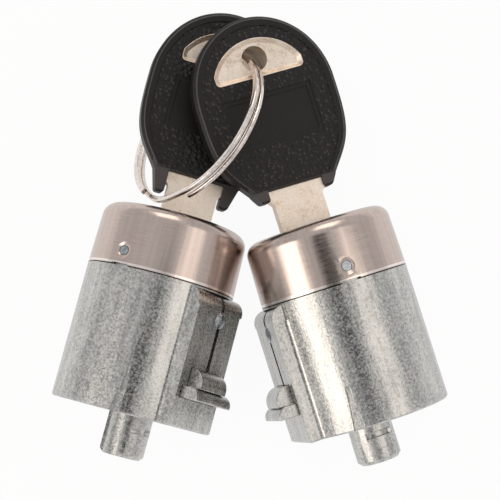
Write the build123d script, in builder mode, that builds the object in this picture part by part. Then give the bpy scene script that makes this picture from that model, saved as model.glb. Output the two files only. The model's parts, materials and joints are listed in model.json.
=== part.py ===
from build123d import *
from math import asin, atan2, cos, degrees, hypot, radians, sin, sqrt
import os

os.makedirs("parts", exist_ok=True)

# Two alike vehicle lock cylinders with their keys, held together by one split ring and lying on
# a table. Each lock is drawn in its own frame, in millimetres: Z runs along the barrel towards
# the key, Z = 0 is the rear face of the barrel and +X points at the middle of the rib. What turns
# with the key is drawn about the key's axis, with X along the width of the key.

# Barrel of the housing
barrel_r = 13.75
barrel_h = 25.0
rear_bevel = 0.3
rear_wall = 3.0
plug_offset = 1.6  # from the barrel's axis to the key's axis, towards the rib

# Marks of the casting die, as points across and up from the rear edge
mark_depth = 0.3
mark_turn = 60.0  # to each side of the rib
tall_mark = ((-1.15, 0), (-0.4, 7.0), (0, 7.9), (0.4, 7.0), (1.15, 0))
low_mark = ((-1.0, 0), (-0.5, 2.8), (0.15, 3.4), (0.8, 2.4), (0.9, 0))
dimple_mark_at = (0.5, 5.4)
dimple_mark_width = 1.0
dimple_mark_height = 3.0

# Rib of the housing
rib_proud = 1.05  # of the barrel
rib_width = 13.0
rib_gap = 0.3  # from the rib's top to the seam under the cap
rib_root_r = 1.1
rib_top_r = 2.4
ear_height = 2.8
ear_proud = 0.5
ear_depth = 2.3
slit_width = 0.9
slit_depth = 1.5
slit_over_detent = 4.0
slit_side = 0.8  # the slit and the detent lie a little to one side of the rib's middle

# Window in the rib, and the sprung latch that stands in it
window_z = 5.2
foot_height = 2.3
foot_width = 11.0
block_height = 3.4
block_width = 8.2
latch_side_gap = 0.12
latch_slide_gap = 0.08
foot_stand = 3.7  # how far each step stands out of the rib
block_stand = 3.0
foot_round = 1.8
block_round = 2.7
latch_floor_wall = 0.75  # from the plug's bore to the floor of the window
latch_back_gap = 0.2
lip = 0.55
tongue_sheet = 0.7
tongue_height = 0.8
tongue_width = 4.8
latch_spring_r = 0.95
latch_spring_wire = 0.35
latch_spring_sink = 2.4
latch_spring_turns = 5
spring_seat_gap = 0.05

# Detent that the plug clicks over
detent_down = 16.2  # below the front of the plug
ball_r = 1.2
ball_gap = 0.1
track_depth = 0.5
detent_plug_r = 1.5
detent_plug_length = 2.0
detent_dome = 0.45
detent_spring_wire = 0.25
detent_spring_turns = 2

# Face cap, a drawn steel cup over the neck of the housing
cap_h = 11.9
cap_sheet = 0.6
cap_taper = 0.25
cap_edge_r = 2.5
cap_fit = 0.05
cap_hole_r = 0.95
cap_dimple_r = 1.6
cap_dimple_depth = 0.28
cap_hole_up = 2.8
cap_hole_turn = 87.0
seam_notch_width = 3.5
seam_notch_height = 0.4
cap_pin_r = 0.85
cap_pin_length = 5.0
cap_pin_sink = 0.35  # below the barrel's radius

# Plug and its tail
plug_r = 7.25
plug_fit = 0.05
plug_sink = 0.4  # below the front of the cap
nose_r = 7.15
nose_fit = 0.25
flange_r = 8.3
flange_h = 1.1
flange_under_front = 1.1
stop_reach = 9.8
stop_half_angle = 9.0
stop_play = 0.6
turn_limit = 45.0
tail_r = 4.075
tail_fit = 0.06
journal_r = 4.4  # where the tail runs in the rear wall
tail_length = 7.6
tail_bevel = 0.7
tail_collar = 1.9
tail_groove_width = 1.1
tail_groove_depth = 0.8
tail_groove_arcs = ((-56.0, 48.0), (94.5, 38.5))  # the middle and the half angle of each
tail_step_depth = 0.55
tail_step_turn = 210.0
tail_step_half_angle = 40.0
seal_gap = 0.04

# Key
blade_length = 28.5
blade_width = 8.4
blade_thickness = 2.2
blade_fit = 0.15
tip_width = 3.0
cut_step = 0.4
cut_flat = 1.2
keyway_end_room = 0.8
shank_width = 9.5
shank_length = 8.0
flare_width = 12.4
flare_length = 2.6
head_height = 32.0
head_thickness = 4.2
head_bevel = 0.7
head_foot_width = 2.8
head_foot_taper = 1.2
left_foot_length = 4.2
right_foot_length = 1.9
head_foot_inset = 0.4
head_foot_round = 0.6
head_base_width = 16.2
head_width = 27.0
head_dome = 14.5  # height of the rounded top
bow_inset = 2.3
ring_hole_r = 2.4
ring_hole_down = 7.7
window_width = 17.2
window_arch = 7.3
window_shoulder = 2.0
window_down = 4.0
window_corner_r = 0.9
window_bevel = 0.7  # slope of the metal lining inside the window
window_lip = 0.15
rim_width = 1.7
rim_height = 0.25
panel_width = 17.3
panel_height = 9.7
panel_down = 14.2
panel_border = 0.8
panel_depth = 0.22

# Wafers
wafers_each_side_of_track = 4
wafer_pitch = 2.0
wafer_thickness = 0.9
wafer_width = 6.4
wafer_first = 7.2
wafer_track_skip = 2.6
wafer_fit = 0.1
wafer_tab_width = 1.3
wafer_tab_height = 0.8
wafer_tab_at = 1.9
wafer_tab_room = 0.6
wafer_spring_r = 0.36
wafer_spring_wire = 0.16
wafer_spring_length = 3.4
wafer_spring_turns = 5

# Shutter behind the front of the plug, folded down beside the blade
shutter_width = 8.6
shutter_sheet = 0.5
shutter_length = 4.1
shutter_barrel_r = 0.75
shutter_pin_r = 0.35
shutter_pin_fit = 0.05
shutter_pin_bite = 1.3
shutter_side = 2.75  # from the middle of the keyway to the pin
shutter_pin_down = 0.95
shutter_spring_room = 2.6
shutter_spring_wire = 0.2
shutter_spring_turns = 7
shutter_gap = 0.2

# Split ring: two turns of flat wire that step past each other over a short crossing
ring_outer_r = 16.0
ring_wire_width = 1.1
ring_wire_height = 0.8
ring_turn_gap = 0.5
ring_cross_angle = 44.0
ring_end_angle = 2.0
ring_corner_r = 0.25

# How the set lies on the table: each lock on its round side, with its key's hole on the split
# ring, and the two caps side by side about X = 0. Rib turns are seen from the key's end, from
# straight up over to the right.
left_rib_turn = 57.0
left_plug_turn = 45.0
right_rib_turn = -78.0
right_plug_turn = 0.0
cap_side_gap = 0.16
cap_meet_z = 34.5  # height up the barrels at which the caps lie nearest
left_hole_at = (-2.61, 36.578)
ring_normal = (-0.6764, 0.4163, 0.6076)
ring_reach = (0.4101, 0.8981, -0.1587)  # from the ring's middle to the left key's hole
left_hole_off = (-0.22, 0.383)  # from the wire to the hole's middle, outwards and along the normal
right_hole_off = (0.524, -0.485)
ring_holes_apart = -26.05  # round the ring, from the left key's hole to the right key's
ring_ends_at = 180.0  # round the ring, from the left key's hole to the wire's crossing

# Worked out from the sizes above
rib_reach = barrel_r + rib_proud
cap_top = barrel_h + cap_h
cap_inside = cap_top - cap_sheet
neck_r = barrel_r - cap_sheet - cap_fit - cap_taper
neck_top = cap_inside - cap_fit
rib_top = barrel_h - rib_gap
bore_r = plug_r + plug_fit
plug_rear = rear_wall + plug_fit
plug_front = cap_top - plug_sink
flange_front = cap_top - flange_under_front
flange_rear = flange_front - flange_h
window_mid = window_z + foot_height
window_top = window_mid + block_height
latch_back = rib_reach - lip - latch_back_gap - tongue_sheet
latch_floor = plug_offset + bore_r + latch_floor_wall
latch_travel = latch_back - latch_floor - latch_back_gap
detent_z = plug_front - detent_down
detent_back = rib_reach - detent_plug_length
ball_x = plug_offset + plug_r - track_depth + plug_fit + ball_r
keyway_end = plug_front - blade_length - keyway_end_room
head_z = cap_top + shank_length
head_top = head_z + head_height
head_shoulder_z = head_top - head_dome
ring_hole_z = head_top - ring_hole_down
window_base = head_top - window_down - window_arch
field_y = head_thickness / 2 - rim_height
wafer_z = [
    plug_front - wafer_first - wafer_pitch * n
    - (wafer_track_skip if n >= wafers_each_side_of_track else 0)
    for n in range(2 * wafers_each_side_of_track)
]
shutter_pin_z = plug_front - shutter_pin_down
shutter_half_pin = shutter_width / 2 + shutter_gap + shutter_pin_bite
ring_pitch = ring_wire_height + ring_turn_gap
ring_r = ring_outer_r - ring_wire_width / 2


def facing_out(turn, reach, height):
    """A plane square to the radius at that turn from the rib, with its Y along the barrel."""
    out = Vector(cos(radians(turn)), sin(radians(turn)), 0)
    side = Vector(-sin(radians(turn)), cos(radians(turn)), 0)
    return Plane(origin=out * reach + Vector(0, 0, height), x_dir=side, z_dir=out)


def along_rib(reach, height, side=0):
    """A plane parallel to the rib's outer face, with its Y along the barrel."""
    return Plane(origin=(reach, side, height), x_dir=(0, 1, 0), z_dir=(1, 0, 0))


def sector(middle_x, reach, middle, half_angle):
    """Part of a disc about (middle_x, 0), half_angle to each side of the middle angle."""
    with BuildSketch() as piece:
        with BuildLine():
            arc = CenterArc((middle_x, 0), reach, middle - half_angle, 2 * half_angle)
            Line((middle_x, 0), arc @ 0)
            Line(arc @ 1, (middle_x, 0))
        make_face()
    return piece.sketch


def blade_edge(n, side):
    """Distance from the key's middle to its edge at wafer n, on side 0 (+X) or 1 (-X)."""
    return blade_width / 2 - cut_step * ((n + side) // 2)


def die_mark(foot, shoulder, crown, other_shoulder, other_foot):
    """An arched mark that stands on the rear edge."""
    with BuildSketch() as mark:
        with BuildLine():
            Line(foot, shoulder)
            ThreePointArc(shoulder, crown, other_shoulder)
            Polyline(other_shoulder, other_foot, foot)
        make_face()
    return mark.sketch


def coil(plane, radius, wire, length, turns):
    """A spring of round wire along the plane's normal, from the plane on."""
    pitch = (length - wire) / turns
    with BuildPart() as spring:
        with BuildLine() as path:
            foot = plane.offset(wire / 2).origin
            Helix(pitch, pitch * turns, radius, center=foot, direction=plane.z_dir)
        with BuildSketch(Plane(origin=path.line @ 0, z_dir=path.line % 0)):
            Circle(wire / 2)
        sweep(path=path.line, is_frenet=True)
    return spring.part


def make_housing():
    with BuildPart() as housing:
        with BuildSketch() as section:
            Circle(barrel_r)
            with Locations((rib_reach / 2, 0)):
                Rectangle(rib_reach, rib_width)
            root_x = sqrt(barrel_r**2 - rib_width**2 / 4)
            roots = section.vertices().filter_by_position(Axis.X, root_x - 0.1, root_x + 0.1)
            fillet(roots, rib_root_r)
        extrude(amount=rib_top)
        chamfer(housing.faces().sort_by(Axis.Z)[0].edges(), rear_bevel)

        # Smooth ears at the top of both flanks, then the rounded top of the rib
        with BuildSketch(Plane.XY.offset(rib_top - ear_height)):
            with Locations((rib_reach - ear_depth / 2, 0)):
                Rectangle(ear_depth, rib_width + 2 * ear_proud)
        extrude(amount=ear_height)
        with BuildSketch(Plane.XZ):
            with BuildLine():
                low = (rib_reach, rib_top - rib_top_r)
                high = (rib_reach - rib_top_r, rib_top)
                CenterArc((high[0], low[1]), rib_top_r, 0, 90)
                Polyline(high, (rib_reach + 1, rib_top), (rib_reach + 1, low[1]), low)
            make_face()
        extrude(amount=rib_width, both=True, mode=Mode.SUBTRACT)

        # Shoulder under the cap, and the neck inside it
        with BuildSketch(Plane.XY.offset(rib_top)):
            Circle(barrel_r)
        extrude(amount=rib_gap)
        with BuildSketch(Plane.XY.offset(barrel_h)):
            Circle(neck_r)
        extrude(amount=neck_top - barrel_h)
        fillet(housing.edges().group_by(Axis.Z)[-1], cap_edge_r - cap_sheet + cap_fit)

        # Bore for the plug, counterbore for its flange, and the arc that its stop runs in
        with BuildSketch(Plane.XY.offset(rear_wall)):
            with Locations((plug_offset, 0)):
                Circle(bore_r)
        extrude(amount=neck_top, mode=Mode.SUBTRACT)
        with BuildSketch():
            with Locations((plug_offset, 0)):
                Circle(journal_r + tail_fit)
        extrude(amount=rear_wall, mode=Mode.SUBTRACT)
        with BuildSketch(Plane.XY.offset(flange_rear - plug_fit)):
            with Locations((plug_offset, 0)):
                Circle(flange_r + plug_fit)
            play = turn_limit + stop_half_angle + stop_play
            add(sector(plug_offset, stop_reach + plug_fit, 180, play))
        extrude(amount=flange_h + flange_under_front, mode=Mode.SUBTRACT)

        # Slit, window and the undercut for the latch's tongue
        slit_top = detent_z + slit_over_detent
        with BuildSketch(along_rib(rib_reach, (slit_top + window_top) / 2, slit_side)):
            Rectangle(slit_width, slit_top - window_top)
        extrude(amount=-slit_depth, mode=Mode.SUBTRACT)
        with BuildSketch(along_rib(latch_floor, window_z)):
            with Locations((0, foot_height / 2)):
                Rectangle(foot_width, foot_height)
            with Locations((0, foot_height + block_height / 2)):
                Rectangle(block_width, block_height)
        extrude(amount=rib_reach, mode=Mode.SUBTRACT)
        with BuildSketch(along_rib(latch_floor, window_top + tongue_height / 2)):
            Rectangle(tongue_width + 2 * latch_side_gap, tongue_height + 2 * latch_slide_gap)
        extrude(amount=rib_reach - lip - latch_floor, mode=Mode.SUBTRACT)

        # Hole for the detent's ball and spring, with a wider mouth for its closing plug
        with BuildSketch(along_rib(plug_offset, detent_z, slit_side)):
            Circle(ball_r + ball_gap)
        extrude(amount=rib_reach, mode=Mode.SUBTRACT)
        with BuildSketch(along_rib(detent_back, detent_z, slit_side)):
            Circle(detent_plug_r)
        extrude(amount=rib_reach, mode=Mode.SUBTRACT)

        # Blind holes for the two pins that hold the cap
        for turn in (cap_hole_turn, -cap_hole_turn):
            with BuildSketch(facing_out(turn, barrel_r, barrel_h + cap_hole_up)):
                Circle(cap_pin_r)
            extrude(amount=-cap_pin_sink - cap_pin_length, mode=Mode.SUBTRACT)

        # Marks of the casting die, open at the rear edge: a tall arch on one side of the rib, and
        # a low one under an oval dimple on the other
        with BuildSketch(facing_out(mark_turn, barrel_r, 0)):
            add(die_mark(*tall_mark))
        extrude(amount=-mark_depth, mode=Mode.SUBTRACT)
        with BuildSketch(facing_out(-mark_turn, barrel_r, 0)):
            add(die_mark(*low_mark))
            with Locations(dimple_mark_at):
                Ellipse(dimple_mark_width / 2, dimple_mark_height / 2)
        extrude(amount=-mark_depth, mode=Mode.SUBTRACT)
    return housing.part


def make_face_cap():
    with BuildPart() as face_cap:
        with BuildSketch(Plane.XZ):
            with BuildLine():
                foot, rim = (barrel_r, barrel_h), (barrel_r - cap_taper, cap_top)
                Polyline((0, barrel_h), foot, rim, (0, cap_top), close=True)
            make_face()
        revolve(axis=Axis.Z)
        fillet(face_cap.edges().group_by(Axis.Z)[-1], cap_edge_r)
        offset(amount=-cap_sheet, openings=face_cap.faces().sort_by(Axis.Z)[0])
        with BuildSketch(Plane.XY.offset(cap_inside - 1)):
            with Locations((plug_offset, 0)):
                Circle(nose_r + nose_fit)
        extrude(amount=cap_h, mode=Mode.SUBTRACT)

        # A dimpled hole over each pin, and a notch in the rim below it
        sink_angle = 2 * degrees(atan2(cap_dimple_r - cap_hole_r, cap_dimple_depth))
        for turn in (cap_hole_turn, -cap_hole_turn):
            share = cap_hole_up / cap_h
            with Locations(facing_out(turn, barrel_r - cap_taper * share, barrel_h + cap_hole_up)):
                CounterSinkHole(cap_hole_r, cap_dimple_r, 2, sink_angle)
            with BuildSketch(facing_out(turn, barrel_r + 1, barrel_h)):
                Rectangle(seam_notch_width, 2 * seam_notch_height)
            extrude(amount=-3, mode=Mode.SUBTRACT)
    return face_cap.part


def make_cap_pins():
    with BuildPart() as cap_pins:
        for turn in (cap_hole_turn, -cap_hole_turn):
            reach = barrel_r - cap_pin_sink
            with BuildSketch(facing_out(turn, reach, barrel_h + cap_hole_up)):
                Circle(cap_pin_r)
            extrude(amount=-cap_pin_length)
    return cap_pins.part


def make_face_seal():
    with BuildPart() as face_seal:
        with BuildSketch(Plane.XY.offset(flange_front + seal_gap)):
            with Locations((plug_offset, 0)):
                Circle(flange_r)
                Circle(nose_r + plug_fit, mode=Mode.SUBTRACT)
        extrude(amount=cap_inside - flange_front - 2 * seal_gap)
    return face_seal.part


def make_latch():
    half_gap = latch_slide_gap
    with BuildPart() as latch:
        steps = (
            (foot_stand, window_z + half_gap, window_mid - half_gap, foot_width, foot_round),
            (block_stand, window_mid - half_gap, window_top - half_gap, block_width, block_round),
        )
        for stand, low, high, width, rounding in steps:
            reach = rib_reach + stand
            with BuildSketch(Plane.XZ) as step:
                with Locations(((latch_back + reach) / 2, (low + high) / 2)):
                    Rectangle(reach - latch_back, high - low)
                fillet(step.vertices().sort_by(Axis.X)[-2:].sort_by(Axis.Y)[-1], rounding)
            extrude(amount=width / 2 - latch_side_gap, both=True)
        with BuildSketch(along_rib(latch_back, window_top - half_gap + tongue_height / 2)):
            Rectangle(tongue_width, tongue_height)
        extrude(amount=tongue_sheet)
        with BuildSketch(along_rib(latch_back, window_mid + half_gap)):
            Circle(latch_spring_r + latch_spring_wire)
        extrude(amount=latch_spring_sink, mode=Mode.SUBTRACT)
    return latch.part


def make_latch_spring():
    plane = along_rib(latch_floor + spring_seat_gap, window_mid + latch_slide_gap)
    length = latch_back + latch_spring_sink - latch_floor - 2 * spring_seat_gap
    return coil(plane, latch_spring_r, latch_spring_wire, length, latch_spring_turns)


def make_detent_plug():
    with BuildPart() as detent_plug:
        with BuildSketch(Plane.XZ):
            with BuildLine():
                edge, top = (detent_plug_r, detent_plug_length), (0, detent_plug_length + detent_dome)
                dome_r = (detent_plug_r**2 + detent_dome**2) / (2 * detent_dome)
                Polyline(top, (0, 0), (detent_plug_r, 0), edge)
                RadiusArc(edge, top, -dome_r)
            make_face()
        revolve(axis=Axis.Z)
    return along_rib(detent_back, detent_z, slit_side).location * detent_plug.part


def make_detent_ball():
    with BuildPart() as detent_ball:
        with Locations((ball_x, slit_side, detent_z)):
            Sphere(ball_r)
    return detent_ball.part


def make_detent_spring():
    start = ball_x + ball_r + spring_seat_gap
    radius = ball_r - detent_spring_wire
    length = detent_back - spring_seat_gap - start
    return coil(
        along_rib(start, detent_z, slit_side), radius, detent_spring_wire, length, detent_spring_turns
    )


def make_plug():
    with BuildPart() as plug:
        with BuildSketch(Plane.XZ):
            with BuildLine():
                Polyline(
                    (0, -tail_length),
                    (tail_r - tail_bevel, -tail_length),
                    (tail_r, -tail_length + tail_bevel),
                    (tail_r, 0),
                    (journal_r, 0),
                    (journal_r, plug_rear),
                    (plug_r, plug_rear),
                    (plug_r, flange_rear),
                    (flange_r, flange_rear),
                    (flange_r, flange_front),
                    (nose_r, flange_front),
                    (nose_r, plug_front),
                    (0, plug_front),
                    close=True,
                )
            make_face()
        revolve(axis=Axis.Z)
        with BuildSketch(Plane.XY.offset(flange_rear)):
            add(sector(0, stop_reach, 180, stop_half_angle))
        extrude(amount=flange_h)

        # Tail: two arcs of a retainer groove, and a step down one side
        groove_r = tail_r - tail_groove_depth
        for middle, half_angle in tail_groove_arcs:
            with BuildSketch(Plane.XY.offset(-tail_collar - tail_groove_width)):
                add(sector(0, tail_r + 1, middle, half_angle))
                Circle(groove_r, mode=Mode.SUBTRACT)
            extrude(amount=tail_groove_width, mode=Mode.SUBTRACT)
        with BuildSketch(Plane.XY.offset(-tail_length)):
            add(sector(0, tail_r + 1, tail_step_turn, tail_step_half_angle))
            Circle(tail_r - tail_step_depth, mode=Mode.SUBTRACT)
        extrude(amount=tail_length, mode=Mode.SUBTRACT)

        # Track of the detent ball
        with BuildSketch(Plane.XZ):
            with Locations((plug_r - track_depth + ball_r + ball_gap, detent_z)):
                Circle(ball_r + ball_gap)
        revolve(axis=Axis.Z, mode=Mode.SUBTRACT)

        # Keyway, wafer slots and the pockets beside them for the springs
        with BuildSketch(Plane.XY.offset(keyway_end)):
            Rectangle(blade_width + 2 * blade_fit, blade_thickness + 2 * blade_fit)
        extrude(amount=plug_front, mode=Mode.SUBTRACT)
        for n, z in enumerate(wafer_z):
            side = 1 if n % 2 == 0 else -1
            with BuildSketch(Plane.XY.offset(z - (wafer_thickness + wafer_fit) / 2)):
                Rectangle(3 * plug_r, wafer_width + 2 * wafer_fit)
                far = wafer_tab_at + wafer_tab_height + wafer_tab_room
                near = wafer_tab_at - wafer_spring_length
                edge = wafer_width / 2 + wafer_tab_width + wafer_fit
                with Locations((side * (far + near) / 2, side * edge / 2)):
                    Rectangle(far - near, edge)
            extrude(amount=wafer_thickness + wafer_fit, mode=Mode.SUBTRACT)

        # Pocket and pin holes of the shutter
        wall = blade_thickness / 2
        back = shutter_side + shutter_barrel_r + shutter_gap
        with BuildSketch(Plane.XY.offset(shutter_pin_z - shutter_length - shutter_gap)):
            with Locations((0, (wall + back) / 2)):
                Rectangle(shutter_width + 2 * shutter_gap, back - wall)
        extrude(amount=shutter_length + plug_front, mode=Mode.SUBTRACT)
        with BuildSketch(Plane.YZ):
            with Locations((shutter_side, shutter_pin_z)):
                Circle(shutter_pin_r)
        extrude(amount=shutter_half_pin, both=True, mode=Mode.SUBTRACT)
    return plug.part


def make_wafer(n):
    side = 1 if n % 2 == 0 else -1
    with BuildPart() as wafer:
        with BuildSketch(Plane.XY.offset(wafer_z[n] - wafer_thickness / 2)):
            Circle(plug_r - wafer_fit)
            Rectangle(3 * plug_r, wafer_width, mode=Mode.INTERSECT)
            tab_x = side * (wafer_tab_at + wafer_tab_height / 2)
            with Locations((tab_x, side * (wafer_width + wafer_tab_width) / 2)):
                Rectangle(wafer_tab_height, wafer_tab_width)
            right, left = blade_edge(n, 0) + blade_fit, blade_edge(n, 1) + blade_fit
            with Locations(((right - left) / 2, 0)):
                Rectangle(right + left, blade_thickness + 2 * blade_fit, mode=Mode.SUBTRACT)
        extrude(amount=wafer_thickness)
    return wafer.part


def make_wafer_springs():
    springs = []
    for n, z in enumerate(wafer_z):
        side = 1 if n % 2 == 0 else -1
        start = wafer_tab_at - wafer_spring_length + spring_seat_gap
        across = (wafer_width + wafer_tab_width) / 2 + wafer_fit
        plane = Plane(origin=(side * start, side * across, z), z_dir=(side, 0, 0))
        length = wafer_spring_length - 2 * spring_seat_gap
        springs.append(
            coil(plane, wafer_spring_r, wafer_spring_wire, length, wafer_spring_turns)
        )
    return Compound(springs)


def make_shutter():
    with BuildPart() as shutter:
        far = shutter_width / 2 - shutter_spring_room
        near = -shutter_width / 2
        with BuildSketch(Plane.YZ.offset(near)):
            with Locations((shutter_side, shutter_pin_z)):
                Circle(shutter_barrel_r)
        extrude(amount=far - near)
        face = shutter_side - shutter_barrel_r
        neck = shutter_barrel_r + shutter_gap
        with BuildSketch(Plane.XZ.offset(-face)):
            with Locations(((far + near) / 2, shutter_pin_z - shutter_length / 2)):
                Rectangle(far - near, shutter_length)
            with Locations((0, shutter_pin_z - (shutter_length + neck) / 2)):
                Rectangle(shutter_width, shutter_length - neck)
        extrude(amount=-shutter_sheet)
        with BuildSketch(Plane.YZ.offset(near)):
            with Locations((shutter_side, shutter_pin_z)):
                Circle(shutter_pin_r + shutter_pin_fit)
        extrude(amount=far - near, mode=Mode.SUBTRACT)
    return shutter.part


def make_shutter_pin():
    with BuildPart() as shutter_pin:
        with BuildSketch(Plane.YZ):
            with Locations((shutter_side, shutter_pin_z)):
                Circle(shutter_pin_r)
        extrude(amount=shutter_half_pin, both=True)
    return shutter_pin.part


def make_shutter_spring():
    start = shutter_width / 2 - shutter_spring_room + spring_seat_gap
    plane = Plane(origin=(start, shutter_side, shutter_pin_z), z_dir=(1, 0, 0))
    radius = shutter_barrel_r - shutter_spring_wire
    length = shutter_spring_room - 2 * spring_seat_gap
    return coil(plane, radius, shutter_spring_wire, length, shutter_spring_turns)


def head_outline(inset):
    """The outline of the key's plastic head, without its feet, or one that lies inside it."""
    half, dome_height = head_width / 2 - inset, head_top - inset - head_shoulder_z
    with BuildSketch() as outline:
        with BuildLine():
            side = Spline(
                (head_base_width / 2 - inset, head_z),
                (0.43 * head_width - inset, head_z + 0.15 * head_height),
                (half, head_shoulder_z),
                tangents=[(0.6, 0.8), (0, 1)],
            )
            EllipticalCenterArc((0, head_shoulder_z), half, dome_height, arc_size=90)
            mirror(about=Plane.YZ)
            Line(side @ 0, ((side @ 0).X * -1, head_z))
        make_face()
    return outline.sketch


def window_outline(inset):
    """The D-shaped window over the bow, or an outline inside it."""
    with BuildSketch() as outline:
        with BuildLine():
            half, base = window_width / 2 - inset, window_base + inset
            shoulder, top = window_base + window_shoulder, window_base + window_arch - inset
            ThreePointArc((half, shoulder), (0, top), (-half, shoulder))
            Polyline((-half, shoulder), (-half, base), (half, base), (half, shoulder))
        make_face()
        fillet(outline.vertices(), window_corner_r)
    return outline.sketch


def make_key_blade():
    with BuildPart() as key_blade:
        with BuildSketch(Plane.XZ):
            tip = plug_front - blade_length
            edges = []
            for side in (0, 1):
                sign = 1 - 2 * side
                edge = [(sign * blade_width / 2, plug_front + plug_fit)]
                for n, z in enumerate(wafer_z):
                    x = sign * blade_edge(n, side)
                    edge += [(x, z + cut_flat / 2), (x, z - cut_flat / 2)]
                edges.append(edge + [(sign * tip_width / 2, tip)])
            with BuildLine():
                Polyline(*edges[0], *reversed(edges[1]), close=True)
            make_face()
            low, high = plug_front + plug_fit, head_top - head_height / 2
            with Locations((0, (low + high) / 2)):
                Rectangle(shank_width, high - low)

            # Flare where the shank goes into the head
            with BuildLine():
                foot, top = (shank_width / 2, head_z - flare_length), (flare_width / 2, head_z)
                curve = RadiusArc(top, foot, 2 * flare_length)
                mirrored = mirror(curve, about=Plane.YZ)
                Line(foot, (-shank_width / 2, foot[1]))
                half, up = flare_width / 2, head_z + flare_length
                Polyline(top, (half, up), (-half, up), (-half, head_z))
            make_face()
        extrude(amount=blade_thickness / 2, both=True)
        with BuildSketch(Plane.XZ):
            add(head_outline(bow_inset))
            with Locations((0, head_z)):
                Rectangle(head_width, head_height / 3, mode=Mode.SUBTRACT)
        extrude(amount=blade_thickness / 2, both=True)

        # Lining of the window, sloping from the plastic down to the bow
        with BuildSketch(Plane.XZ):
            add(window_outline(0))
        extrude(amount=field_y, both=True)
        depth = field_y - blade_thickness / 2
        for side in (1, -1):
            face = Plane(origin=(0, side * field_y, 0), x_dir=(side, 0, 0), z_dir=(0, -side, 0))
            with BuildSketch(face):
                add(window_outline(window_lip))
            slope = degrees(atan2(window_bevel, depth))
            extrude(amount=depth, taper=slope, mode=Mode.SUBTRACT)
        with BuildSketch(Plane.XZ):
            with Locations((0, ring_hole_z)):
                Circle(ring_hole_r)
        extrude(amount=blade_thickness, both=True, mode=Mode.SUBTRACT)
    return key_blade.part


def make_key_head(metal, foot_length):
    with BuildPart() as key_head:
        with BuildSketch(Plane.XZ):
            add(head_outline(0))
        extrude(amount=head_thickness / 2, both=True)
        chamfer(key_head.faces().filter_by(Axis.Y).edges(), head_bevel)
        with BuildSketch(Plane.XZ):
            with BuildLine():
                outer, end = head_base_width / 2, head_z - foot_length
                inner, root = outer - head_foot_width, head_z + 2 * head_bevel
                foot = [(inner, end), (outer - head_foot_taper, end), (outer, head_z), (outer, root)]
                Polyline(*foot, (inner, root), close=True)
            make_face()
            mirror(about=Plane.YZ)
        extrude(amount=head_thickness / 2 - head_foot_inset, both=True)
        foot_ends = key_head.faces().filter_by(Axis.Z).sort_by(Axis.Z)[:2]
        fillet(foot_ends.edges(), head_foot_round)

        # Field inside the raised rim, and the window through it
        for side in (1, -1):
            with BuildSketch(Plane.XZ.offset(side * field_y)):
                add(head_outline(rim_width))
            extrude(amount=side * head_thickness, mode=Mode.SUBTRACT)
        with BuildSketch(Plane.XZ):
            add(window_outline(0))
        extrude(amount=head_thickness, both=True, mode=Mode.SUBTRACT)

        # Bare sunk panel with a stepped border on both faces
        panel_z = head_top - panel_down - panel_height / 2
        for side in (1, -1):
            for step in (1, 2):
                inset = 2 * panel_border * (step - 1)
                with BuildSketch(Plane.XZ.offset(side * (field_y - step * panel_depth))):
                    with Locations((0, panel_z)):
                        Rectangle(panel_width - inset, panel_height - inset)
                extrude(amount=side * head_thickness, mode=Mode.SUBTRACT)
        add(metal, mode=Mode.SUBTRACT)
    return key_head.part


def make_split_ring():
    half = ring_cross_angle / 2
    start = half + ring_end_angle
    sweep_angle = 360 - half - start
    low, high = -ring_pitch / 2, ring_pitch / 2

    def on_ring(angle, z):
        return Vector(ring_r * cos(radians(angle)), ring_r * sin(radians(angle)), z)

    with BuildPart() as split_ring:
        with BuildLine() as path:
            CenterArc((0, 0, low), ring_r, start, sweep_angle)
            Spline(
                on_ring(-half, low),
                on_ring(0, 0),
                on_ring(half, high),
                tangents=[on_ring(90 - half, 0), on_ring(90 + half, 0)],
            )
            CenterArc((0, 0, high), ring_r, half, sweep_angle)
        across = path.line @ 0 - Vector(0, 0, low)
        with BuildSketch(Plane(origin=path.line @ 0, x_dir=across, z_dir=path.line % 0)):
            RectangleRounded(ring_wire_width, ring_wire_height, ring_corner_r)
        sweep(path=path.line)
    return split_ring.part, path.line


def lying(hole, rib_turn, side):
    """The frame of a lock on the table, with its key's hole there and its cap beside X = 0."""
    rib_turn = radians(rib_turn)
    above = barrel_r + plug_offset * cos(rib_turn)
    tilt = asin(hole.Z / hypot(above, ring_hole_z)) - atan2(above, ring_hole_z)
    beside = side * barrel_r + plug_offset * sin(rib_turn)
    length = (ring_hole_z - cap_meet_z) * cos(tilt)
    away = hole.X - side * cap_side_gap / 2
    lean = asin(away / hypot(beside, length)) - atan2(beside, length)
    along = Vector(sin(lean) * cos(tilt), cos(lean) * cos(tilt), sin(tilt))
    right = Vector(cos(lean), -sin(lean), 0)
    rib = right * sin(rib_turn) + right.cross(along) * cos(rib_turn)
    return Plane(origin=hole - along * ring_hole_z - rib * plug_offset, x_dir=rib, z_dir=along)


still = {
    "housing": make_housing(),
    "face_cap": make_face_cap(),
    "cap_pins": make_cap_pins(),
    "face_seal": make_face_seal(),
    "latch": make_latch(),
    "latch_spring": make_latch_spring(),
    "detent_plug": make_detent_plug(),
    "detent_ball": make_detent_ball(),
    "detent_spring": make_detent_spring(),
}
turning = {
    "plug": make_plug(),
    "wafer_springs": make_wafer_springs(),
    "shutter": make_shutter(),
    "shutter_pin": make_shutter_pin(),
    "shutter_spring": make_shutter_spring(),
    "key_blade": make_key_blade(),
}
for number in range(len(wafer_z)):
    turning[f"wafer_{number + 1}"] = make_wafer(number)
heads = {
    "left": make_key_head(turning["key_blade"], left_foot_length),
    "right": make_key_head(turning["key_blade"], right_foot_length),
}

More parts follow.
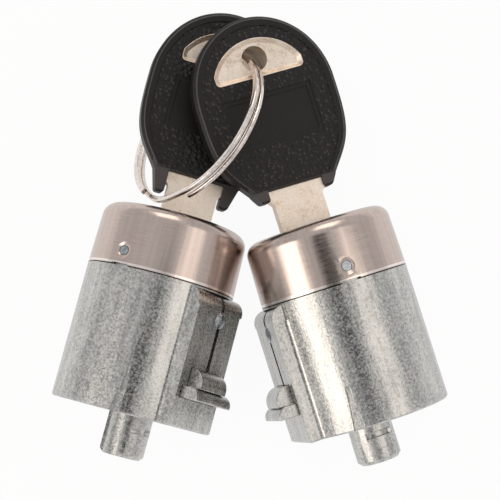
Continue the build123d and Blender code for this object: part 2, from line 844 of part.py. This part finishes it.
left_height = barrel_r + plug_offset * cos(radians(left_rib_turn))
left_hole = Vector(*left_hole_at, left_height)
out, up = left_hole_off
ring_middle = left_hole - Vector(ring_reach).normalized() * (ring_r + out)
ring_middle -= Vector(ring_normal).normalized() * up
ring_plane = Plane(origin=ring_middle, x_dir=ring_reach, z_dir=ring_normal)
apart = radians(ring_holes_apart)
out, up = right_hole_off
reach = ring_r + out
right_hole = ring_plane.from_local_coords((reach * cos(apart), reach * sin(apart), up))
left_lock = lying(left_hole, left_rib_turn, -1)
right_lock = lying(right_hole, right_rib_turn, 1)
placed = {}
for side, frame, turn in (
    ("left", left_lock, left_plug_turn),
    ("right", right_lock, right_plug_turn),
):
    axis = frame.location * Location((plug_offset, 0, 0), (0, 0, turn))
    for name, piece in still.items():
        placed[f"{side}_{name}"] = frame.location * piece
    for name, piece in turning.items():
        placed[f"{side}_{name}"] = axis * piece
    placed[f"{side}_key_head"] = axis * heads[side]

ring, ring_path = make_split_ring()
steps = 400
points = [ring_path @ (n / steps) for n in range(steps + 1)]
skip = steps // 4
least = min(
    (points[a] - points[b]).length for a in range(steps + 1) for b in range(a + skip, steps + 1)
)
print("split ring's least gap to itself", round(least - ring_wire_height, 2), "mm")
placed["split_ring"] = ring_plane.location * Rotation(0, 0, ring_ends_at) * ring

# The set stands on Z = 0 with the middle of its footprint at the origin
box = Compound(list(placed.values())).bounding_box()
to_middle = Location((-box.center().X, -box.center().Y, -box.min.Z))
for name, piece in placed.items():
    solid = to_middle * piece
    solid.label = name
    export_step(solid, f"parts/{name}.step")
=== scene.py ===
import json
from math import cos, pi, radians, sin

import bmesh
import bpy
from bpy.props import FloatProperty, FloatVectorProperty, PointerProperty
from mathutils import Matrix, Vector

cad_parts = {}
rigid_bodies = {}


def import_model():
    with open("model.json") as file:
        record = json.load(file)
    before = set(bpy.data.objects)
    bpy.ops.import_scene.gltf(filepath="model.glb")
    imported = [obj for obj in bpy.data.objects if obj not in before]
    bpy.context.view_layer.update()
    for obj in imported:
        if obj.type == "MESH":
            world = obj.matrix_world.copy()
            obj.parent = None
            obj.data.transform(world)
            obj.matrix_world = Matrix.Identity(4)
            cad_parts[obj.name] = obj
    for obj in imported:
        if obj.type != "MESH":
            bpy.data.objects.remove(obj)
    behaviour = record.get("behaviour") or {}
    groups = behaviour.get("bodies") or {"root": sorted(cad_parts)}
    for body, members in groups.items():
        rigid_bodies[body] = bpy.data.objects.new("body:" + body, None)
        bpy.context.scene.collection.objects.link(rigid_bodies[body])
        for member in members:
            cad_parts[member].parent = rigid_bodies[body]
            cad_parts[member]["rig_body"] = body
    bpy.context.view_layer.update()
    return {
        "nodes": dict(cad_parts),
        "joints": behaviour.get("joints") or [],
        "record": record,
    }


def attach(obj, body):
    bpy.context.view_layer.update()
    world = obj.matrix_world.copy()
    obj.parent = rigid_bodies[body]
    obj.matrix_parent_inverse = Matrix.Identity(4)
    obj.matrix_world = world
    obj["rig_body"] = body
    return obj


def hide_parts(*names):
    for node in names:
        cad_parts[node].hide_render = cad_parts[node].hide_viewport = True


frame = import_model()

bl_info = {
    "name": "Pair of vehicle lock cylinders with keys",
    "version": (1, 0, 0),
    "blender": (4, 5, 0),
    "location": "View3D > Sidebar > Lock cylinders",
    "description": "Dresses a pair of lock cylinders that lie on a table, their keys on one split ring",
    "category": "Object",
}

MM = 0.001
SIDES = ("left", "right")

# Points nearer than this are made one point, and faces that turn less than this one face
JOIN_DISTANCE = 0.001 * MM
FLAT_ANGLE = radians(0.3)
# Edges that turn more than this many degrees are hard edges
HARD_ANGLE = 28

# Half the sides of the table and of the card around the lens, in metres
TABLE_HALF = 1.5
LENS_CARD_HALF = 0.05
# How far the card stands in front of the camera, in metres
LENS_CARD_LEAD = 0.004

# Each lamp's name, place, side in metres and power in watts
SOFTBOXES = (
    ("left softbox", (-0.25, -0.10, 0.215), 0.19, 0.25),
    ("right softbox", (0.21, -0.02, 0.28), 0.17, 0.075),
    ("rear softbox", (0.0, 0.45, 0.35), 0.3, 0.5),
)
LAMP_COLOUR = "#fff4e8"

mounts = {mount["name"]: mount for mount in frame["record"]["mounts"]}
joints = {joint["name"]: joint for joint in frame["joints"]}


def placed(origin, x_axis, z_axis):
    """The matrix of a frame, from its origin, its Z and a direction near its X."""
    z = Vector(z_axis).normalized()
    y = z.cross(Vector(x_axis)).normalized()
    x = y.cross(z)
    matrix = Matrix((x, y, z)).transposed().to_4x4()
    matrix.translation = Vector(origin)
    return matrix


def lock_frame(side):
    """Z along the barrel towards the key, X to the middle of the rib, zero at the rear face."""
    barrel = mounts[f"{side}_barrel"]
    middle = Vector(barrel["pos_m"])
    rear = middle - Vector(barrel["axis"]) * barrel["dims"]["length_mm"] * MM / 2
    return placed(rear, mounts[f"{side}_latch_seat"]["axis"], barrel["axis"])


def key_frame(side):
    """Z along the key's own axis, X across the key's width, zero level with the rear face."""
    turn = joints[f"{side}_lock_turn"]
    middle = sum(turn["range_deg"]) / 2
    spin = Matrix.Rotation(radians(middle), 3, Vector(turn["axis"]))
    rib = Vector(mounts[f"{side}_latch_seat"]["axis"])
    return placed(turn["pos_m"], spin @ rib, turn["axis"])


# Helpers for materials


def linear(text):
    """An sRGB hex colour as linear red, green, blue and alpha."""
    channels = [int(text[n : n + 2], 16) / 255 for n in (1, 3, 5)]
    return [c / 12.92 if c <= 0.04045 else ((c + 0.055) / 1.055) ** 2.4 for c in channels] + [1]


def add(material, kind, settings=None, **inputs):
    """Adds a node to a material, with its settings and what goes into its sockets."""
    tree = material.node_tree
    node = tree.nodes.new(kind)
    for name, value in (settings or {}).items():
        setattr(node, name, value)
    for name, value in inputs.items():
        key = int(name[1:]) if name[0] == "_" else name.replace("_", " ")
        if isinstance(value, bpy.types.NodeSocket):
            tree.links.new(value, node.inputs[key])
        else:
            node.inputs[key].default_value = value
    return node


def ramp(material, value, *stops):
    """A colour ramp through (position, colour) stops, with hex or grey colours."""
    node = add(material, "ShaderNodeValToRGB", Fac=value)
    marks = node.color_ramp.elements
    while len(marks) < len(stops):
        marks.new(0.5)
    for mark, (position, colour) in zip(marks, stops):
        mark.position = position
        mark.color = linear(colour) if isinstance(colour, str) else (colour, colour, colour, 1)
    return node.outputs["Color"]


def surface(name):
    """A new material and its shader."""
    material = bpy.data.materials.new(name)
    material.use_nodes = True
    return material, material.node_tree.nodes["Principled BSDF"]


def link(material, output, socket):
    """Joins an output of a material's node to a socket."""
    material.node_tree.links.new(output, socket)


def place(material):
    """Where a point lies in its own lock's or key's frame, in millimetres."""
    return add(material, "ShaderNodeAttribute", {"attribute_name": "place"}).outputs["Vector"]


def stretched(material, across, along):
    """The place divided by a pattern's size, in millimetres, across and along the lock."""
    scale = (1 / across, 1 / across, 1 / along)
    node = add(material, "ShaderNodeMapping", Vector=place(material), Scale=scale)
    return node.outputs["Vector"]


def bump(material, height, depth, normal=None):
    """A bump whose full height is depth millimetres."""
    node = add(material, "ShaderNodeBump", Height=height, Strength=1, Distance=depth * MM)
    if normal is not None:
        link(material, normal, node.inputs["Normal"])
    return node.outputs["Normal"]


def noise(material, across, along, detail):
    """Cloudy grey of a size in millimetres across and along the lock."""
    vector = stretched(material, across, along)
    return add(
        material, "ShaderNodeTexNoise", Vector=vector, Scale=1, Detail=detail, Roughness=0.55
    ).outputs["Fac"]


def blend_of(material, share, first, second):
    """Two grey patterns added in shares that make one."""
    return add(
        material, "ShaderNodeMix", {"data_type": "FLOAT"}, _0=share, _2=first, _3=second
    ).outputs[0]


def between(material, value, start, end, low=0.0, high=1.0):
    """A value's range from start to end, stretched from low to high."""
    return add(
        material,
        "ShaderNodeMapRange",
        Value=value,
        From_Min=start,
        From_Max=end,
        To_Min=low,
        To_Max=high,
    ).outputs["Result"]


def spread(material, value, low, high):
    """The range that nearly all of a cloudy grey keeps to, stretched from low to high."""
    return between(material, value, 0.32, 0.68, low, high)


def at_level(material, height, level, reach):
    """One where a height lies within reach of a level, and zero elsewhere."""
    return add(
        material, "ShaderNodeMath", {"operation": "COMPARE"}, _0=height, _1=level, _2=reach
    ).outputs[0]


def without_sign(material, value):
    return add(material, "ShaderNodeMath", {"operation": "ABSOLUTE"}, _0=value).outputs[0]


def times(material, first, second, plus=0.0):
    """The product of two values, and a third one added to it."""
    return add(
        material, "ShaderNodeMath", {"operation": "MULTIPLY_ADD"}, _0=first, _1=second, _2=plus
    ).outputs[0]


def tinted(material, share, colour, tint):
    """A colour that goes over to a hex tint by a share."""
    return add(
        material, "ShaderNodeMix", {"data_type": "RGBA"}, _0=share, _6=colour, _7=linear(tint)
    ).outputs[2]


def zinc_casting(name):
    """Zinc die casting, as it left the die: a frosted, mottled light grey that still mirrors the
    lamps in soft bands along the barrel, with fine draw scratches."""
    material, shader = surface(name)
    # Frost of the die's surface, drawn in coarse grains of 0.42 mm so that it shows, over flow
    # marks of 1.5 by 9 mm and scratches 0.25 mm apart
    grains = noise(material, 0.42, 0.42, 3)
    flow = noise(material, 1.5, 9.0, 2)
    scratches = noise(material, 0.25, 12.0, 2)
    mixed = blend_of(material, 0.35, grains, flow)
    colour = ramp(material, mixed, (0.36, "#9b9a99"), (0.5, "#c0bfbc"), (0.62, "#d8d6d2"))
    link(material, colour, shader.inputs["Base Color"])
    shader.inputs["Metallic"].default_value = 1.0
    link(material, spread(material, grains, 0.2, 0.36), shader.inputs["Roughness"])
    coarse = bump(material, grains, 0.03)
    fine = bump(material, scratches, 0.01, coarse)
    link(material, fine, shader.inputs["Normal"])
    return material


def brushed_stainless(seam):
    """Stainless sheet, drawn and then brushed around the cup: satin with a faint mauve warmth,
    which smears the lamps into soft upright bands. Its lower edge, at the seam's height, has a
    line of painted shade, and a line just above it is a painted highlight."""
    material, shader = surface("Stainless steel, brushed")
    # Brush lines, drawn 0.15 mm apart so that they show, and faint drawing streaks along the cup
    around = noise(material, 3.0, 0.15, 2)
    drawn = noise(material, 0.7, 30.0, 2)
    mixed = blend_of(material, 0.55, around, drawn)
    colour = ramp(material, mixed, (0.34, "#bfaea6"), (0.66, "#d0c2bb"))
    along = add(material, "ShaderNodeSeparateXYZ", Vector=place(material)).outputs["Z"]
    half_line = 0.2
    # Painted light at the seam: a painted highlight line half a millimetre above it, and a line of
    # painted shade at it
    for level, tint in ((seam + 0.5, "#f4e9e4"), (seam, "#2c2725")):
        line = at_level(material, along, level, half_line)
        colour = tinted(material, line, colour, tint)
    link(material, colour, shader.inputs["Base Color"])
    shader.inputs["Metallic"].default_value = 1.0
    link(material, spread(material, around, 0.2, 0.26), shader.inputs["Roughness"])
    link(material, bump(material, around, 0.0022), shader.inputs["Normal"])
    return material


def nickel_plated_brass():
    """Key brass, stamped and nickel plated: warm beige, softly mottled from handling."""
    material, shader = surface("Nickel plated key brass, stamped")
    # Mottling of about 2 mm and the sheet's grain of 0.3 mm
    clouds = noise(material, 2.2, 2.2, 4)
    grains = noise(material, 0.3, 0.3, 3)
    mixed = blend_of(material, 0.4, clouds, grains)
    colour = ramp(material, mixed, (0.34, "#cdbba8"), (0.48, "#f2e2d2"), (0.66, "#fcf3e8"))
    link(material, colour, shader.inputs["Base Color"])
    shader.inputs["Metallic"].default_value = 1.0
    link(material, spread(material, clouds, 0.34, 0.48), shader.inputs["Roughness"])
    link(material, bump(material, grains, 0.012), shader.inputs["Normal"])
    return material


def grained_nylon(sizes, panel):
    """Filled nylon, moulded in a spark-eroded die: near black, with a pebbled grain on the field,
    smooth on the rim and in the panel, with painted highlights along their edges and on the
    pebbles' tops. The panel is given by its reach to each side and its ends along the key."""
    material, shader = surface("Filled nylon, moulded and grained")
    parts = add(material, "ShaderNodeSeparateXYZ", Vector=place(material))
    across = without_sign(material, parts.outputs["X"])
    height = without_sign(material, parts.outputs["Y"])
    field_level = sizes.field_height
    face_reach = 0.06
    field = at_level(material, height, field_level, face_reach)

    # Pebbles of the grain, drawn 0.75 mm across so that they show
    pebbles = add(
        material,
        "ShaderNodeTexVoronoi",
        {"feature": "SMOOTH_F1"},
        Vector=stretched(material, 0.75, 0.75),
        Scale=1,
        Smoothness=0.35,
    ).outputs["Distance"]
    grain = times(material, pebbles, field)
    fine = noise(material, 0.3, 0.3, 3)
    dark = ramp(material, fine, (0.35, "#0e0c0c"), (0.65, "#191615"))

    # Painted highlights: the rim's edges and the two steps down to the panel, short of the faces beside
    # them
    short = 0.03
    half = sizes.rim_step / 2
    lines = at_level(material, height, field_level + half, half - short)
    half = sizes.panel_step / 2
    reach, low, high = panel
    inside = times(
        material,
        at_level(material, across, 0.0, reach + half),
        at_level(material, parts.outputs["Z"], (low + high) / 2, (high - low) / 2 + half),
    )
    for down in (1, 3):
        walls = at_level(material, height, field_level - down * half, half - short)
        lines = times(material, walls, inside, lines)

    # The tops of the grain get a painted highlight, weaker than the one on those edges
    tops = between(material, pebbles, 0.38, 0.1)
    tops_highlight_share = 0.75
    painted_highlights = times(material, times(material, tops, field), tops_highlight_share, lines)
    # Painted highlights: a lighter grey over the rim's edges, the panel's steps and the pebbles' tops
    link(material, tinted(material, painted_highlights, dark, "#4a4543"), shader.inputs["Base Color"])
    shader.inputs["Roughness"].default_value = 0.45
    shader.inputs["IOR"].default_value = 1.5
    shader.inputs["Specular IOR Level"].default_value = 0.35
    pebbled = bump(material, grain, -sizes.grain_depth)
    link(material, bump(material, fine, 0.006, pebbled), shader.inputs["Normal"])
    return material


def bright_spring_wire():
    """Spring steel wire, rolled flat and nickel plated: almost a mirror, faintly warm."""
    material, shader = surface("Spring steel wire, nickel plated")
    drawn = noise(material, 0.7, 0.7, 2)
    colour = ramp(material, drawn, (0.35, "#dfd4cd"), (0.65, "#f2eae5"))
    link(material, colour, shader.inputs["Base Color"])
    shader.inputs["Metallic"].default_value = 1.0
    link(material, spread(material, drawn, 0.1, 0.18), shader.inputs["Roughness"])
    return material


def ground_steel():
    """Steel pin, ball or spring, ground or drawn: cool grey and bright."""
    material, shader = surface("Steel, ground")
    rings = noise(material, 0.4, 0.4, 2)
    colour = ramp(material, rings, (0.3, "#8e949b"), (0.7, "#c3c8cc"))
    link(material, colour, shader.inputs["Base Color"])
    shader.inputs["Metallic"].default_value = 1.0
    link(material, spread(material, rings, 0.18, 0.28), shader.inputs["Roughness"])
    return material


def wafer_brass():
    """Brass sheet, blanked: yellow, with fine drag lines of the die."""
    material, shader = surface("Brass sheet, blanked")
    lines = noise(material, 0.2, 2.0, 2)
    colour = ramp(material, lines, (0.3, "#a98850"), (0.7, "#d8ba7c"))
    link(material, colour, shader.inputs["Base Color"])
    shader.inputs["Metallic"].default_value = 1.0
    shader.inputs["Roughness"].default_value = 0.3
    link(material, bump(material, lines, 0.004), shader.inputs["Normal"])
    return material


def seal_rubber():
    """Nitrile rubber, moulded: soft black with a faint bloom."""
    material, shader = surface("Nitrile rubber, moulded")
    bloom = noise(material, 0.8, 0.8, 3)
    colour = ramp(material, bloom, (0.3, "#141414"), (0.7, "#242424"))
    link(material, colour, shader.inputs["Base Color"])
    shader.inputs["Roughness"].default_value = 0.7
    link(material, bump(material, bloom, 0.02), shader.inputs["Normal"])
    return material


def whitened(material, shader, seen_share, mirrored_share):
    """Lets a shader show partly as plain white in the view, and in another share in glossy metal,
    over whatever shadow falls on it."""
    rays = add(material, "ShaderNodeLightPath")
    factor = 0.0
    for ray, share in (("Is Camera Ray", seen_share), ("Is Glossy Ray", mirrored_share)):
        factor = times(material, rays.outputs[ray], share, factor)
    white = add(material, "ShaderNodeEmission", Color=linear("#ffffff"), Strength=1)
    return add(
        material, "ShaderNodeMixShader", _0=factor, _1=shader.outputs[0], _2=white.outputs[0]
    ).outputs[0]


def floor_paper():
    """Matt white paper of the table."""
    material, shader = surface("Paper, matt white")
    shader.inputs["Base Color"].default_value = linear("#f4f3f2")
    shader.inputs["Roughness"].default_value = 0.9
    output = material.node_tree.nodes["Material Output"]
    link(material, whitened(material, shader, 0.94, 0.7), output.inputs["Surface"])
    return material


def matt_card(colour):
    """Black card of the studio, uncoated and without gloss."""
    material, shader = surface("Card, matt black")
    shader.inputs["Base Color"].default_value = linear(colour)
    shader.inputs["Roughness"].default_value = 1.0
    return material


# Helpers for meshes


def set_place(mesh, matrix):
    """Stores where each point lies in a frame, in millimetres, for the materials."""
    inward = matrix.inverted()
    spots = mesh.attributes.new("place", "FLOAT_VECTOR", "POINT")
    for spot, vertex in zip(spots.data, mesh.vertices):
        spot.vector = inward @ vertex.co / MM


def reach_at(node, matrix, level):
    """How far a CAD piece's points at a level to either side of a frame's XZ plane reach across
    it, and their lowest and highest place along it, in millimetres."""
    inward = matrix.inverted()
    near = 0.02
    spots = [inward @ vertex.co / MM for vertex in frame["nodes"][node].data.vertices]
    spots = [spot for spot in spots if abs(abs(spot.y) - level) < near]
    along = [spot.z for spot in spots]
    return max(abs(spot.x) for spot in spots), min(along), max(along)


def add_piece(name, mesh, node, material):
    """Links a mesh as the piece that stands for a CAD node, on that node's body."""
    piece = bpy.data.objects.new(name, mesh)
    bpy.context.scene.collection.objects.link(piece)
    mesh.materials.clear()
    mesh.materials.append(material)
    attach(piece, frame["nodes"][node]["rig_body"])
    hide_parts(node)
    return piece


def dress(node, name, material, matrix, ease=0.0):
    """A CAD piece with its own frame for its material, and its hard edges eased by that many
    millimetres."""
    mesh = frame["nodes"][node].data.copy()
    if "custom_normal" in mesh.attributes:
        mesh.attributes.remove(mesh.attributes["custom_normal"])
    shape = bmesh.new()
    shape.from_mesh(mesh)
    bmesh.ops.remove_doubles(shape, verts=shape.verts, dist=JOIN_DISTANCE)
    bmesh.ops.dissolve_limit(
        shape, angle_limit=FLAT_ANGLE, verts=shape.verts, edges=shape.edges
    )
    for face in shape.faces:
        face.smooth = True
    shape.to_mesh(mesh)
    shape.free()
    set_place(mesh, matrix)
    piece = add_piece(name, mesh, node, material)
    if ease:
        bevel = piece.modifiers.new("eased edges", "BEVEL")
        bevel.width = ease * MM
        bevel.segments = 2
        bevel.limit_method = "ANGLE"
        bevel.angle_limit = radians(HARD_ANGLE)
        bevel.use_clamp_overlap = True
        weighted = piece.modifiers.new("shading", "WEIGHTED_NORMAL")
        weighted.keep_sharp = False
    else:
        mesh.set_sharp_from_angle(angle=radians(HARD_ANGLE))
    return piece


def flat_sheet(name, material, half):
    """A level square sheet about the origin, given half its side in metres."""
    mesh = bpy.data.meshes.new(name)
    corners = [(x * half, y * half, 0) for x, y in ((-1, -1), (1, -1), (1, 1), (-1, 1))]
    mesh.from_pydata(corners, [], [(0, 1, 2, 3)])
    mesh.materials.append(material)
    sheet = bpy.data.objects.new(name, mesh)
    bpy.context.scene.collection.objects.link(sheet)
    return sheet


class LockSizes(bpy.types.PropertyGroup):
    edge_ease: FloatProperty(
        name="Edge ease",
        description="How far the casting's hard edges are rounded, in millimetres",
        default=0.14,
        min=0.0,
    )
    steel_ease: FloatProperty(
        name="Sheet edge ease",
        description="How far the steel cap's edges are rounded, in millimetres",
        default=0.08,
        min=0.0,
    )
    key_ease: FloatProperty(
        name="Key edge ease",
        description="How far the key's stamped edges are rounded, in millimetres",
        default=0.1,
        min=0.0,
    )
    head_ease: FloatProperty(
        name="Head edge ease",
        description="How far the key head's moulded edges are rounded, in millimetres",
        default=0.16,
        min=0.0,
    )
    field_height: FloatProperty(
        name="Field of the head",
        description="From the key's middle to the grained face of its head, in millimetres",
        default=1.85,
        min=0.5,
    )
    rim_step: FloatProperty(
        name="Rim of the head",
        description="How far the rim stands above the field, in millimetres",
        default=0.25,
        min=0.05,
    )
    panel_step: FloatProperty(
        name="Step of the panel",
        description="How far each step of the panel lies below the last face, in millimetres",
        default=0.22,
        min=0.05,
    )
    grain_depth: FloatProperty(
        name="Grain depth",
        description="Height of the pebbles on the head, in millimetres",
        default=0.2,
        min=0.0,
    )


class StageLook(bpy.types.PropertyGroup):
    distance: FloatProperty(
        name="Camera distance",
        description="From the camera to the point that it looks at",
        default=0.27,
        unit="LENGTH",
    )
    elevation: FloatProperty(
        name="Camera elevation",
        description="Angle of the camera above the table",
        default=radians(82.6),
        subtype="ANGLE",
    )
    azimuth: FloatProperty(
        name="Camera azimuth",
        description="Turn of the camera about the upright, from the tails' side towards the right",
        default=radians(-1.06),
        subtype="ANGLE",
    )
    lens: FloatProperty(
        name="Camera lens",
        description="Focal length in millimetres, on a sensor 36 mm wide",
        default=105.2,
        min=1.0,
    )
    target: FloatVectorProperty(
        name="Camera target",
        description="The point that the camera looks at",
        default=(0.000558, -0.002318, 0.014),
        subtype="TRANSLATION",
        size=3,
    )
    surroundings: FloatProperty(
        name="Surroundings",
        description="Strength of the even light from all around",
        default=0.64,
        min=0.0,
    )
    background: FloatVectorProperty(
        name="Background",
        description="Colour of the surroundings",
        default=linear("#ffffff")[:3],
        subtype="COLOR",
        size=3,
    )


class LOCKS_OT_housings(bpy.types.Operator):
    """The two cast housings, with their latches and detents"""

    bl_idname = "locks.housings"
    bl_label = "Housings and latches"

    def execute(self, context):
        sizes = context.scene.lock_sizes
        casting, steel = zinc_casting("Zinc die casting"), ground_steel()
        for side in SIDES:
            at = lock_frame(side)
            for name in ("housing", "latch"):
                dress(f"{side}_{name}", f"{side}_cast_{name}", casting, at, sizes.edge_ease)
            for name in ("detent_plug", "detent_ball", "cap_pins"):
                dress(f"{side}_{name}", f"{side}_ground_{name}", steel, at)
            for name in ("latch_spring", "detent_spring"):
                dress(f"{side}_{name}", f"{side}_wound_{name}", steel, at)
        return {"FINISHED"}


class LOCKS_OT_caps(bpy.types.Operator):
    """The drawn steel caps and the washers inside them"""

    bl_idname = "locks.caps"
    bl_label = "Face caps"

    def execute(self, context):
        sizes = context.scene.lock_sizes
        seam = mounts["left_barrel"]["dims"]["length_mm"]
        steel, rubber = brushed_stainless(seam), seal_rubber()
        for side in SIDES:
            at = lock_frame(side)
            dress(f"{side}_face_cap", f"{side}_drawn_cap", steel, at, sizes.steel_ease)
            dress(f"{side}_face_seal", f"{side}_moulded_seal", rubber, at)
        return {"FINISHED"}


class LOCKS_OT_plugs(bpy.types.Operator):
    """The turning plugs with their tails, wafers and shutters"""

    bl_idname = "locks.plugs"
    bl_label = "Plugs and wafers"

    def execute(self, context):
        sizes = context.scene.lock_sizes
        casting, brass, steel = zinc_casting("Zinc plug casting"), wafer_brass(), ground_steel()
        for side in SIDES:
            at = key_frame(side)
            dress(f"{side}_plug", f"{side}_cast_plug", casting, at, sizes.edge_ease)
            for node in sorted(frame["nodes"]):
                if not node.startswith(side):
                    continue
                inner = node.removeprefix(f"{side}_")
                if inner == "wafer_springs" or inner.startswith("shutter"):
                    dress(node, f"{side}_steel_{inner}", steel, at)
                elif inner.startswith("wafer"):
                    dress(node, f"{side}_brass_{inner}", brass, at)
        return {"FINISHED"}


class LOCKS_OT_keys(bpy.types.Operator):
    """The keys: stamped blade and moulded head"""

    bl_idname = "locks.keys"
    bl_label = "Keys"

    def execute(self, context):
        sizes = context.scene.lock_sizes
        metal = nickel_plated_brass()
        level = sizes.field_height - sizes.panel_step
        panel = reach_at("left_key_head", key_frame("left"), level)
        plastic = grained_nylon(sizes, panel)
        for side in SIDES:
            at = key_frame(side)
            dress(f"{side}_key_blade", f"{side}_stamped_blade", metal, at, sizes.key_ease)
            dress(f"{side}_key_head", f"{side}_moulded_head", plastic, at, sizes.head_ease)
        return {"FINISHED"}


class LOCKS_OT_split_ring(bpy.types.Operator):
    """The split ring: two turns of flat wire that step past each other"""

    bl_idname = "locks.split_ring"
    bl_label = "Split ring"

    def execute(self, context):
        turn = joints["ring_turn"]
        at = placed(turn["pos_m"], (1, 0, 0), turn["axis"])
        dress("split_ring", "wound_split_ring", bright_spring_wire(), at)
        return {"FINISHED"}


class LOCKS_OT_stage(bpy.types.Operator):
    """Floor, lamps, surroundings and the camera at the photograph's angle"""

    bl_idname = "locks.stage"
    bl_label = "Stage"

    def execute(self, context):
        look = context.scene.stage_look
        scene = context.scene
        scene.view_settings.view_transform = "Standard"
        world = bpy.data.worlds.new("Studio")
        scene.world = world
        world.use_nodes = True
        background = world.node_tree.nodes["Background"]
        background.inputs["Color"].default_value = (*look.background, 1)
        background.inputs["Strength"].default_value = look.surroundings

        floor = flat_sheet("table", floor_paper(), TABLE_HALF)

        # The camera looks at the set a little from the tails' side
        target = Vector(look.target)
        level = cos(look.elevation)
        direction = Vector(
            (level * sin(look.azimuth), -level * cos(look.azimuth), sin(look.elevation))
        )
        camera_data = bpy.data.cameras.new("camera")
        camera_data.sensor_width = 36
        camera_data.lens = look.lens
        camera_data.clip_start = 0.01
        camera = bpy.data.objects.new("camera", camera_data)
        camera.location = target + direction * look.distance
        camera.rotation_euler = (pi / 2 - look.elevation, 0, look.azimuth)
        scene.collection.objects.link(camera)
        scene.camera = camera

        # A dark card around the lens, which the metal mirrors as a soft dark band
        shade = flat_sheet("lens card", matt_card("#0c0c0c"), LENS_CARD_HALF)
        shade.location = target + direction * (look.distance - LENS_CARD_LEAD)
        shade.rotation_euler = camera.rotation_euler
        shade.visible_camera = False
        shade.visible_diffuse = False
        shade.visible_shadow = False

        for name, where, size, power in SOFTBOXES:
            lamp_data = bpy.data.lights.new(name, "AREA")
            lamp_data.shape = "RECTANGLE"
            lamp_data.size = size
            lamp_data.size_y = size
            lamp_data.energy = power
            lamp_data.color = linear(LAMP_COLOUR)[:3]
            lamp = bpy.data.objects.new(name, lamp_data)
            lamp.location = where
            lamp.rotation_euler = (target - Vector(where)).to_track_quat("-Z", "Y").to_euler()
            scene.collection.objects.link(lamp)
        return {"FINISHED"}


class LOCKS_PT_panel(bpy.types.Panel):
    """Sizes and steps of the pair of lock cylinders"""

    bl_label = "Lock cylinders"
    bl_space_type = "VIEW_3D"
    bl_region_type = "UI"
    bl_category = "Lock cylinders"

    def draw(self, context):
        for group in (context.scene.lock_sizes, context.scene.stage_look):
            for name in group.__annotations__:
                self.layout.prop(group, name)
        for operator in OPERATORS:
            self.layout.operator(operator.bl_idname)


OPERATORS = (
    LOCKS_OT_housings,
    LOCKS_OT_caps,
    LOCKS_OT_plugs,
    LOCKS_OT_keys,
    LOCKS_OT_split_ring,
    LOCKS_OT_stage,
)
CLASSES = (LockSizes, StageLook, *OPERATORS, LOCKS_PT_panel)


def register():
    for cls in CLASSES:
        bpy.utils.register_class(cls)
    bpy.types.Scene.lock_sizes = PointerProperty(type=LockSizes)
    bpy.types.Scene.stage_look = PointerProperty(type=StageLook)


def unregister():
    del bpy.types.Scene.stage_look
    del bpy.types.Scene.lock_sizes
    for cls in reversed(CLASSES):
        bpy.utils.unregister_class(cls)


def main():
    register()
    bpy.ops.locks.housings()
    bpy.ops.locks.caps()
    bpy.ops.locks.plugs()
    bpy.ops.locks.keys()
    bpy.ops.locks.split_ring()
    bpy.ops.locks.stage()


if __name__ == "__main__":
    main()
